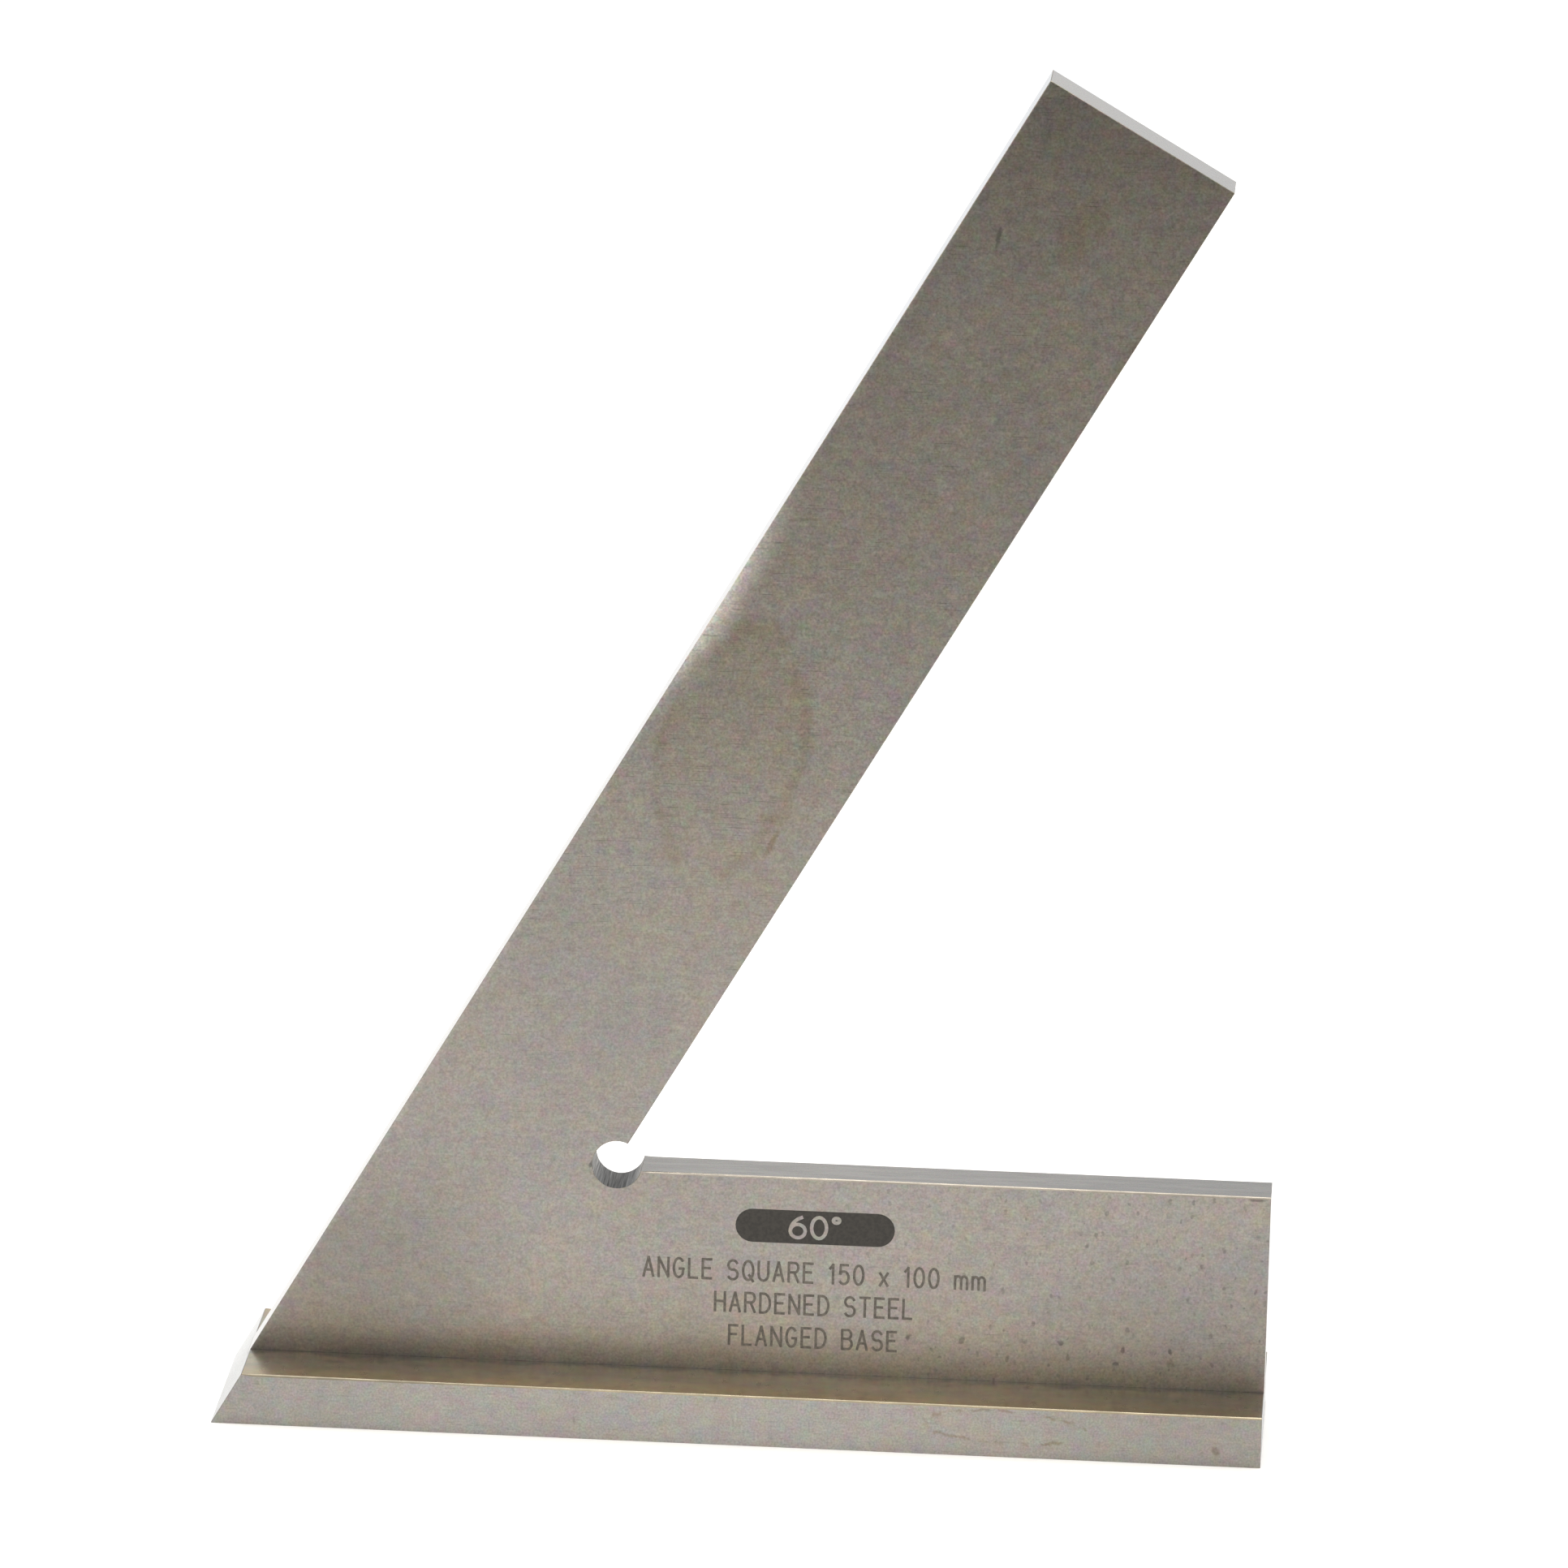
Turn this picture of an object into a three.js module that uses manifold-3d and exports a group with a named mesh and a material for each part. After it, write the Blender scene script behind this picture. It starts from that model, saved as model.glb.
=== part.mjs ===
// A fixed 60 degree angle square with a wide base, in millimetres, +Z up.
//
// A flat ground plate holds the slanted blade and the horizontal leg in one piece, with a round
// relief at their inner corner. The plate's foot sits in a shallow groove along a wide base bar.
// Countersunk screws pull it down from underneath, and dowel pins keep it square.
// The outline is drawn from the apex, where the slanted outer edge meets the underside, and the
// whole square is then moved so that its origin is the middle of the underside.

import * as THREE from "three";
import { mergeVertices } from "three/addons/utils/BufferGeometryUtils.js";
import Module from "manifold-3d";

const wasm = await Module();
wasm.setup();

// ---- driving dimensions ----
const BLADE_ANGLE = THREE.MathUtils.degToRad(60); // between the blade and the base
const BLADE_LENGTH = 152; // along the outer edge, from the apex to the top corner
const BLADE_WIDTH = 20; // square across the blade
const LEG_HEIGHT = 20; // the horizontal limb of the plate
const PLATE_THICKNESS = 5;
const BASE_LENGTH = 100; // along the underside, from the apex to the right end
const BASE_WIDTH = 20;
const BASE_THICKNESS = 5;
const GROOVE_DEPTH = 0.5; // how far the plate's foot is let into the base
const RELIEF_RADIUS = 2.35; // the round relief at the inner corner
const RELIEF_RISE = 0.55; // from the top of the leg up to its centre
const RELIEF_INSET = 0.17; // from the blade's inner edge to its centre

// ---- fasteners, in a row along the middle of the base ----
const FASTENER_START = 20; // from the apex to the first one
const FASTENER_PITCH = 17;
const FASTENER_ROW = ["screw", "dowel", "screw", "dowel", "screw"];
const SCREW_RADIUS = 1.5;
const SCREW_LENGTH = 10; // over the head
const SCREW_HEAD_RADIUS = 2.75;
const SCREW_HEAD_EDGE = 0.2; // the short straight rim of the head
const SCREW_RECESS = 0.3; // the head lies this far above the underside
const SCREW_TIP = 0.4; // chamfer on the end
const SOCKET_ACROSS_FLATS = 2;
const SOCKET_DEPTH = 1.1;
const SCREW_CLEARANCE = 0.1; // all round the screw
const DOWEL_RADIUS = 1.5;
const DOWEL_LENGTH = 12;
const DOWEL_RECESS = 0.3;
const DOWEL_CHAMFER = 0.3;
const DOWEL_CLEARANCE = 0.02;
const BLIND_EXTRA = 1.5; // how far each blind hole runs on past its fastener

const ROUND_SEGMENTS = 32;
const ARC_SEGMENTS = 40;
const CUT_MARGIN = 1; // how far a cutter stands out of what it cuts

// ---- worked out from them ----
const FOOT_Z = BASE_THICKNESS - GROOVE_DEPTH;
const LEG_TOP_Z = FOOT_Z + LEG_HEIGHT;
const ALONG = new THREE.Vector2(Math.cos(BLADE_ANGLE), Math.sin(BLADE_ANGLE)); // up the blade
const ACROSS = new THREE.Vector2(ALONG.y, -ALONG.x); // from the outer edge to the inner one
const TOP_OUTER = ALONG.clone().multiplyScalar(BLADE_LENGTH);
const TOP_INNER = TOP_OUTER.clone().addScaledVector(ACROSS, BLADE_WIDTH);

// x on the slanted outer edge at height z.
function outerEdgeX(z) {
  return z / Math.tan(BLADE_ANGLE);
}

// The point where the blade's inner edge would meet the top of the leg, with no relief.
function innerCorner() {
  const drop = TOP_INNER.y - LEG_TOP_Z;
  return new THREE.Vector2(TOP_INNER.x - drop / Math.tan(BLADE_ANGLE), LEG_TOP_Z);
}

// ---- booleans ----
function toSolid(geometry) {
  const bare = geometry.clone();
  bare.deleteAttribute("normal");
  bare.deleteAttribute("uv");
  const merged = mergeVertices(bare);
  const mesh = new wasm.Mesh({
    numProp: 3,
    vertProperties: new Float32Array(merged.attributes.position.array),
    triVerts: new Uint32Array(merged.index.array),
  });
  return new wasm.Manifold(mesh);
}

function toGeometry(solid) {
  const mesh = solid.getMesh();
  const geometry = new THREE.BufferGeometry();
  geometry.setAttribute("position", new THREE.BufferAttribute(mesh.vertProperties, 3));
  geometry.setIndex(new THREE.BufferAttribute(mesh.triVerts, 1));
  geometry.computeVertexNormals();
  return geometry;
}

function cut(geometry, cutters) {
  let solid = toSolid(geometry);
  for (const cutter of cutters) {
    solid = solid.subtract(toSolid(cutter));
  }
  return toGeometry(solid);
}

// ---- shapes ----
// An outline in X and Z, given its thickness along Y and centred on Y = 0.
function slab(outline, thickness) {
  const options = { depth: thickness, bevelEnabled: false, curveSegments: ARC_SEGMENTS };
  const geometry = new THREE.ExtrudeGeometry(outline, options);
  geometry.rotateX(Math.PI / 2);
  geometry.translate(0, thickness / 2, 0);
  return geometry;
}

// A turned solid on the Z axis, from [radius, z] pairs that start and end on the axis.
function turned(profile) {
  const points = profile.map(([radius, z]) => new THREE.Vector2(radius, z));
  const geometry = new THREE.LatheGeometry(points, ROUND_SEGMENTS);
  geometry.rotateX(Math.PI / 2);
  return geometry;
}

function plateOutline() {
  const corner = innerCorner();
  const slant = RELIEF_INSET + RELIEF_RISE * Math.cos(BLADE_ANGLE);
  const centreX = corner.x + slant / Math.sin(BLADE_ANGLE);
  const centreZ = corner.y + RELIEF_RISE;
  const legDip = Math.asin(RELIEF_RISE / RELIEF_RADIUS);
  const bladeDip = Math.asin(RELIEF_INSET / RELIEF_RADIUS);
  const outline = new THREE.Shape();
  outline.moveTo(outerEdgeX(FOOT_Z), FOOT_Z);
  outline.lineTo(BASE_LENGTH, FOOT_Z);
  outline.lineTo(BASE_LENGTH, LEG_TOP_Z);
  outline.absarc(centreX, centreZ, RELIEF_RADIUS, -legDip, BLADE_ANGLE + bladeDip, true);
  outline.lineTo(TOP_INNER.x, TOP_INNER.y);
  outline.lineTo(TOP_OUTER.x, TOP_OUTER.y);
  return outline;
}

function baseOutline() {
  const outline = new THREE.Shape();
  outline.moveTo(0, 0);
  outline.lineTo(BASE_LENGTH, 0);
  outline.lineTo(BASE_LENGTH, BASE_THICKNESS);
  outline.lineTo(outerEdgeX(BASE_THICKNESS), BASE_THICKNESS);
  return outline;
}

function grooveCutter() {
  const length = BASE_LENGTH + 2 * CUT_MARGIN;
  const height = GROOVE_DEPTH + CUT_MARGIN;
  const cutter = new THREE.BoxGeometry(length, PLATE_THICKNESS, height);
  cutter.translate(BASE_LENGTH / 2, 0, FOOT_Z + height / 2);
  return cutter;
}

// The head's seat and the shank's hole, in one cutter that is wider than the screw all round.
function screwHole() {
  const wide = SCREW_HEAD_RADIUS + SCREW_CLEARANCE;
  const narrow = SCREW_RADIUS + SCREW_CLEARANCE;
  const seatZ = SCREW_RECESS + SCREW_HEAD_EDGE;
  const endZ = SCREW_RECESS + SCREW_LENGTH + BLIND_EXTRA;
  return turned([[0, -CUT_MARGIN], [wide, -CUT_MARGIN], [wide, seatZ],
    [narrow, seatZ + wide - narrow], [narrow, endZ], [0, endZ]]);
}

function dowelHole() {
  const radius = DOWEL_RADIUS + DOWEL_CLEARANCE;
  const endZ = DOWEL_RECESS + DOWEL_LENGTH + BLIND_EXTRA;
  return turned([[0, -CUT_MARGIN], [radius, -CUT_MARGIN], [radius, endZ], [0, endZ]]);
}

function fastenerX(index) {
  return FASTENER_START + index * FASTENER_PITCH;
}

function fastenerHoles() {
  return FASTENER_ROW.map((kind, index) => {
    const hole = kind === "screw" ? screwHole() : dowelHole();
    hole.translate(fastenerX(index), 0, 0);
    return hole;
  });
}

function squarePlate() {
  return cut(slab(plateOutline(), PLATE_THICKNESS), fastenerHoles());
}

function baseBar() {
  return cut(slab(baseOutline(), BASE_WIDTH), [grooveCutter(), ...fastenerHoles()]);
}

// A countersunk socket screw, head down, its head's face at Z = 0.
function fixingScrew() {
  const coneTop = SCREW_HEAD_EDGE + SCREW_HEAD_RADIUS - SCREW_RADIUS;
  const body = turned([[0, 0], [SCREW_HEAD_RADIUS, 0], [SCREW_HEAD_RADIUS, SCREW_HEAD_EDGE],
    [SCREW_RADIUS, coneTop], [SCREW_RADIUS, SCREW_LENGTH - SCREW_TIP],
    [SCREW_RADIUS - SCREW_TIP, SCREW_LENGTH], [0, SCREW_LENGTH]]);
  const socketRadius = SOCKET_ACROSS_FLATS / 2 / Math.cos(Math.PI / 6);
  const height = SOCKET_DEPTH + CUT_MARGIN;
  const socket = new THREE.CylinderGeometry(socketRadius, socketRadius, height, 6);
  socket.rotateX(Math.PI / 2);
  socket.translate(0, 0, SOCKET_DEPTH - height / 2);
  return cut(body, [socket]);
}

// A plain pin with both ends chamfered, standing on Z = 0.
function dowelPin() {
  const narrow = DOWEL_RADIUS - DOWEL_CHAMFER;
  return turned([[0, 0], [narrow, 0], [DOWEL_RADIUS, DOWEL_CHAMFER],
    [DOWEL_RADIUS, DOWEL_LENGTH - DOWEL_CHAMFER], [narrow, DOWEL_LENGTH], [0, DOWEL_LENGTH]]);
}

// ---- materials ----
function steel(colour, roughness) {
  return new THREE.MeshStandardMaterial({ color: colour, roughness, metalness: 0.95, flatShading: true });
}

const plateSteel = steel(0x9e9890, 0.38);
const baseSteel = steel(0xa8a29a, 0.36);
const screwSteel = steel(0x55565a, 0.45);
const dowelSteel = steel(0xb9b9b6, 0.25);

// ---- assembly ----
function piece(name, geometry, material) {
  const mesh = new THREE.Mesh(geometry, material);
  mesh.name = name;
  return mesh;
}

const angleSquare = new THREE.Group();
angleSquare.position.x = -BASE_LENGTH / 2;
angleSquare.add(piece("square_plate", squarePlate(), plateSteel));
angleSquare.add(piece("base_bar", baseBar(), baseSteel));

const counts = { screw: 0, dowel: 0 };
FASTENER_ROW.forEach((kind, index) => {
  counts[kind] += 1;
  const isScrew = kind === "screw";
  const name = isScrew ? `fixing_screw_${counts.screw}` : `dowel_pin_${counts.dowel}`;
  const fastener = isScrew
    ? piece(name, fixingScrew(), screwSteel)
    : piece(name, dowelPin(), dowelSteel);
  fastener.position.set(fastenerX(index), 0, isScrew ? SCREW_RECESS : DOWEL_RECESS);
  angleSquare.add(fastener);
});

export default angleSquare;
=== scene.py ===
"""Looks of a ground steel angle square: bevelled edges, ground faces, marks, studio and camera."""
import math

import bmesh
import bpy
from mathutils import Matrix, Vector


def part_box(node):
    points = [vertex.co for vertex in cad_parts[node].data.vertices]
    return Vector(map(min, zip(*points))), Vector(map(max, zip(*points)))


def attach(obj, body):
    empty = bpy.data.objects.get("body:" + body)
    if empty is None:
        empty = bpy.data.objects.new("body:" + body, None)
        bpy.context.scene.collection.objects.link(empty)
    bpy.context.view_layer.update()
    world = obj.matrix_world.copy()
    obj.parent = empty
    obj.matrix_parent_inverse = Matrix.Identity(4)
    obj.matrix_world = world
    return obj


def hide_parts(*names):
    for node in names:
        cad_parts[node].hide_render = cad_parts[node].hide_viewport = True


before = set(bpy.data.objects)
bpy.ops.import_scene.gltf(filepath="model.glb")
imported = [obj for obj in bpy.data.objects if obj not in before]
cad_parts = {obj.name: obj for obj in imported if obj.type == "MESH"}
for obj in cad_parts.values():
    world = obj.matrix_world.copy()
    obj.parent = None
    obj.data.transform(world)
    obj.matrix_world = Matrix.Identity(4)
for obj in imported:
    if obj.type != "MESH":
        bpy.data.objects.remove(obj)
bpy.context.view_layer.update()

MM = 0.001

# ---- sizes read from the frame ----
PLATE_LOW, PLATE_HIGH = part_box("square_plate")
BASE_LOW, BASE_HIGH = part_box("base_bar")
RELIEF_BAND = (PLATE_LOW.z + 15 * MM, PLATE_LOW.z + 25 * MM)

# ---- camera, lights and floor ----
CAMERA_AZIMUTH = 3.59
CAMERA_ELEVATION = 15.67
CAMERA_ROLL = 1.32
CAMERA_DISTANCE = 1014 * MM
CAMERA_TARGET = Vector((2.7, 0, 62.6)) * MM
SENSOR_WIDTH = 36
FOCAL_LENGTH = 246.9

FLOOR_FRONT = -0.19
FLOOR_BACK = 0.60
FLOOR_HALF_WIDTH = 0.45
FLOOR_GLOW = 0.2

# ---- the plate's slanted outer edge, and a patch of painted glare along it ----
BLADE_ANGLE = math.radians(60)
GLARE_PLACE = 93.5 * MM
GLARE_REACH = 15 * MM
GLARE_WIDTH = 3.4 * MM

# ---- finish ----
EDGE_BREAK = 0.06 * MM
TOP_EDGE_BREAK = 0.2 * MM
TOP_EDGE_TAPER = 1.0 * MM
ON_EDGE = 1.1 * TOP_EDGE_BREAK
SHARP_ANGLE = math.radians(28)

# ---- painted light and shade on the plate by height: Z in mm where a tone starts, Z where it is full, and its shade ----
PLATE_HEIGHT_SHADING = (
    (40, 110, (1.04, 1.02, 0.985)),
    (56, 34, (0.92, 0.925, 0.95)),
    (108, 130, (0.77, 0.77, 0.765)),
    (17, 9, (0.99, 0.97, 0.93)),
    (11, 5, (0.85, 0.85, 0.85)),
)

# ---- marks of use on the plate: centre (X, Z), half length and half width in mm, tilt, shade ----
PLATE_BLEMISHES = (
    ((1.8, 57.4), 2.2, 0.35, 65, (0.84, 0.78, 0.71)),
    ((1.4, 59.9), 0.5, 0.9, 80, (0.90, 0.87, 0.83)),
    ((21.6, 116.7), 1.3, 0.28, 80, (0.62, 0.62, 0.64)),
    ((29.4, 117.6), 4.6, 2.4, 60, (0.95, 0.92, 0.85)),
    ((34.6, 106.6), 1.3, 0.6, 50, (0.80, 0.77, 0.77)),
    ((4.1, 89.0), 1.9, 0.20, 5, (0.80, 0.79, 0.78)),
    ((-14.7, 25.0), 0.5, 0.25, 60, (0.55, 0.55, 0.57)),
    ((48.7, 24.2), 1.0, 0.20, 0, (0.60, 0.58, 0.58)),
)

# ---- etched marks, on the plate's front face ----
MARK_CENTRE_X = 6.8 * MM
MARK_THICKNESS = 0.012 * MM
STROKE_STEP = 0.0003 * MM
STROKE_LEVELS = 8
CORNER_TURN = math.radians(50)
STROKE_OVERRUN = 0.35
MITRE_LIMIT = 0.5
LETTER_HEIGHT = 1.9 * MM
LETTER_WIDTH = 0.92 * MM
LETTER_GAP = 0.52 * MM
LETTER_STROKE = 0.25 * MM
MARK_LINES = (
    ("ANGLE SQUARE 150 x 100 mm", 15.05 * MM),
    ("HARDENED STEEL", 11.85 * MM),
    ("FLANGED BASE", 8.55 * MM),
)
BADGE_SIZE = (15.2 * MM, 3.3 * MM)
BADGE_HEIGHT = 19.6 * MM
BADGE_TEXT = "60°"
BADGE_END_STEPS = 14
NUMERAL_HEIGHT = 2.1 * MM
NUMERAL_WIDTH = 1.5 * MM
NUMERAL_GAP = 0.6 * MM
NUMERAL_STROKE = 0.34 * MM


# ======== node helpers ========
class Shader:
    """A material's node tree, with short calls to add and join nodes."""

    def __init__(self, name):
        self.material = bpy.data.materials.new(name)
        self.material.use_nodes = True
        self.tree = self.material.node_tree
        self.surface = self.tree.nodes["Principled BSDF"]
        self.position = self.add("ShaderNodeTexCoord").outputs["Object"]
        axes = self.add("ShaderNodeSeparateXYZ")
        self.join(self.position, axes.inputs[0])
        self.x, self.y, self.z = axes.outputs

    def add(self, kind, **settings):
        node = self.tree.nodes.new(kind)
        for key, value in settings.items():
            setattr(node, key, value)
        return node

    def join(self, source, target):
        """Connects an output, or sets the socket when the source is a plain value."""
        if isinstance(source, (int, float)):
            target.default_value = source
        elif isinstance(source, tuple):
            target.default_value = (*source, 1.0)[:len(target.default_value)]
        else:
            self.tree.links.new(source, target)

    def finish(self, colour, roughness, normal, metallic=1.0):
        self.join(colour, self.surface.inputs["Base Color"])
        self.join(roughness, self.surface.inputs["Roughness"])
        self.join(normal, self.surface.inputs["Normal"])
        self.join(metallic, self.surface.inputs["Metallic"])
        return self.material

    def scaled(self, size):
        """The position divided by a feature size, a length or one for each direction."""
        node = self.add("ShaderNodeVectorMath", operation="DIVIDE")
        self.join(self.position, node.inputs[0])
        node.inputs[1].default_value = size if isinstance(size, tuple) else (size,) * 3
        return node.outputs["Vector"]

    def noise_node(self, size, seed, detail=2.0, roughness=0.5):
        node = self.add("ShaderNodeTexNoise", noise_dimensions="4D")
        self.join(self.scaled(size), node.inputs["Vector"])
        node.inputs["W"].default_value = seed
        node.inputs["Scale"].default_value = 1.0
        node.inputs["Detail"].default_value = detail
        node.inputs["Roughness"].default_value = roughness
        return node

    def noise(self, size, seed, detail=2.0, roughness=0.5):
        """Noise around 0.5, with features of that size."""
        return self.noise_node(size, seed, detail, roughness).outputs["Fac"]

    def ramp(self, value, low, high, to_low=0.0, to_high=1.0):
        """A smooth step: to_low where the value is at low, to_high where it is at high."""
        node = self.add("ShaderNodeMapRange", interpolation_type="SMOOTHSTEP")
        self.join(value, node.inputs["Value"])
        node.inputs["From Min"].default_value = low
        node.inputs["From Max"].default_value = high
        node.inputs["To Min"].default_value = to_low
        node.inputs["To Max"].default_value = to_high
        return node.outputs["Result"]

    def maths(self, operation, a, b=0.5):
        node = self.add("ShaderNodeMath", operation=operation)
        self.join(a, node.inputs[0])
        self.join(b, node.inputs[1])
        return node.outputs[0]

    def product(self, first, *others):
        for other in others:
            first = self.maths("MULTIPLY", first, other)
        return first

    def mix(self, factor, a, b, blend="MIX"):
        node = self.add("ShaderNodeMix", data_type="RGBA", blend_type=blend)
        self.join(factor, node.inputs[0])
        self.join(a, node.inputs[6])
        self.join(b, node.inputs[7])
        return node.outputs[2]

    def tint(self, colour, mask, shade):
        """The colour multiplied by the shade where the mask is 1."""
        return self.mix(mask, colour, shade, blend="MULTIPLY")

    def vary(self, colour, size, amount, seed, detail=2.0, roughness=0.5, hue=False):
        """The colour made lighter and darker by noise; with hue, each channel goes its own way."""
        noise = self.noise_node(size, seed, detail, roughness)
        swing = self.add("ShaderNodeMix", data_type="VECTOR", factor_mode="NON_UNIFORM")
        self.join(noise.outputs["Color" if hue else "Fac"], swing.inputs[1])
        swing.inputs[4].default_value = (1 - amount,) * 3
        swing.inputs[5].default_value = (1 + amount,) * 3
        node = self.add("ShaderNodeVectorMath", operation="MULTIPLY")
        self.join(colour, node.inputs[0])
        self.join(swing.outputs[1], node.inputs[1])
        return node.outputs["Vector"]

    def oval(self, centre, half_length, half_width, tilt, ragged, seed):
        """Distance from the middle of an oval on the XZ plane, 1 on its outline, a little uneven."""
        node = self.add("ShaderNodeMapping", vector_type="TEXTURE")
        self.join(self.position, node.inputs["Vector"])
        node.inputs["Location"].default_value = (centre[0], 0, centre[1])
        node.inputs["Rotation"].default_value = (0, -math.radians(tilt), 0)
        node.inputs["Scale"].default_value = (half_length, 1, half_width)
        length = self.add("ShaderNodeVectorMath", operation="LENGTH")
        self.join(node.outputs["Vector"], length.inputs[0])
        uneven = self.noise(half_width * 0.6, seed, detail=3)
        uneven = self.maths("MULTIPLY", self.maths("SUBTRACT", uneven, 0.5), ragged)
        return self.maths("ADD", length.outputs["Value"], uneven)

    def bump(self, height, distance, after=None):
        node = self.add("ShaderNodeBump")
        node.inputs["Strength"].default_value = 1.0
        node.inputs["Distance"].default_value = distance
        self.join(height, node.inputs["Height"])
        if after is not None:
            self.join(after, node.inputs["Normal"])
        return node.outputs["Normal"]


# ======== materials ========
STEEL_WARM = (0.39, 0.355, 0.315)
STEEL_COOL = (0.365, 0.345, 0.32)
SPECK = (0.52, 0.52, 0.54)
# painted shade on the base's top where it meets the plate
LEDGE_SHADE_TINT = (0.72, 0.77, 0.85)


def grained(shader, colour, seed, grain=0.34):
    """Soft drifts, small patches of slightly different hue, and fine grain."""
    colour = shader.vary(colour, 9 * MM, 0.06, seed, detail=2)
    colour = shader.vary(colour, 1.2 * MM, 0.25, seed + 1, detail=3, roughness=0.75, hue=True)
    colour = shader.vary(colour, (1.5 * MM, 1.5 * MM, 0.35 * MM), 0.11, seed + 2, detail=2)
    return shader.vary(colour, 0.2 * MM, grain, seed + 3, detail=1)


def hairlines(shader, seed, height=0.07 * MM):
    """Short fine lines along X, left by the grinding wheel: 1 on a line, 0 elsewhere."""
    lines = shader.noise((3.2 * MM, 3.2 * MM, height), seed, detail=2, roughness=0.6)
    where = shader.noise(5 * MM, seed + 1)
    return shader.product(shader.ramp(lines, 0.57, 0.72), shader.ramp(where, 0.38, 0.56))


def specks(shader, across, spacing, radius, share, seed):
    """Small ragged pits on a face that spans X and across: 0 outside them, up to 1 inside."""
    place = shader.add("ShaderNodeCombineXYZ")
    shader.join(shader.maths("DIVIDE", shader.x, spacing * 0.8), place.inputs[0])
    shader.join(shader.maths("DIVIDE", across, spacing * 1.25), place.inputs[1])
    bend = shader.noise_node(spacing * 0.5, seed, detail=2)
    moved = shader.add("ShaderNodeVectorMath", operation="MULTIPLY_ADD")
    shader.join(bend.outputs["Color"], moved.inputs[0])
    moved.inputs[1].default_value = (0.5, 0.5, 0)
    shader.join(place.outputs[0], moved.inputs[2])
    cells = shader.add("ShaderNodeTexVoronoi", voronoi_dimensions="2D")
    shader.join(moved.outputs[0], cells.inputs["Vector"])
    cells.inputs["Scale"].default_value = 1.0
    chance = shader.add("ShaderNodeSeparateColor")
    shader.join(cells.outputs["Color"], chance.inputs[0])
    wanted = shader.maths("LESS_THAN", chance.outputs[0], share)
    size = shader.ramp(chance.outputs[1], 0.0, 1.0, 0.4 * radius / spacing, radius / spacing)
    depth = shader.maths("SUBTRACT", size, cells.outputs["Distance"])
    strength = shader.ramp(chance.outputs[2], 0, 1, 0.4, 1)
    return shader.product(shader.ramp(depth, -0.02, 0.06), wanted, strength)


def ground_finish(shader, colour, roughness, seed, spots, line_depth=0.45):
    """Joins the colour to a ground face: hairlines, spots, uneven roughness and a fine bump."""
    lines = hairlines(shader, seed + 11)
    colour = shader.tint(colour, shader.product(lines, line_depth), SPECK)
    colour = shader.tint(colour, spots, SPECK)
    patchy = shader.ramp(shader.noise(1.2 * MM, seed + 17, detail=3), 0.3, 0.7,
                         roughness - 0.015, roughness + 0.02)
    rough = shader.maths("ADD", patchy, shader.product(spots, 0.15))
    grain = shader.noise((1.6 * MM, 1.6 * MM, 0.08 * MM), seed + 19, detail=2, roughness=0.6)
    normal = shader.bump(grain, 0.0012 * MM)
    normal = shader.bump(shader.product(spots, -1.0), 0.004 * MM, after=normal)
    return shader.finish(colour, rough, normal)


def blade_place(shader):
    """How far a point lies along the slanted outer edge, and how far in from it."""
    from_apex = shader.maths("SUBTRACT", shader.x, BASE_LOW.x)
    cosine, sine = math.cos(BLADE_ANGLE), math.sin(BLADE_ANGLE)
    along = shader.maths("ADD", shader.product(from_apex, cosine), shader.product(shader.z, sine))
    inward = shader.maths("SUBTRACT", shader.product(from_apex, sine), shader.product(shader.z, cosine))
    return along, inward


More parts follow.
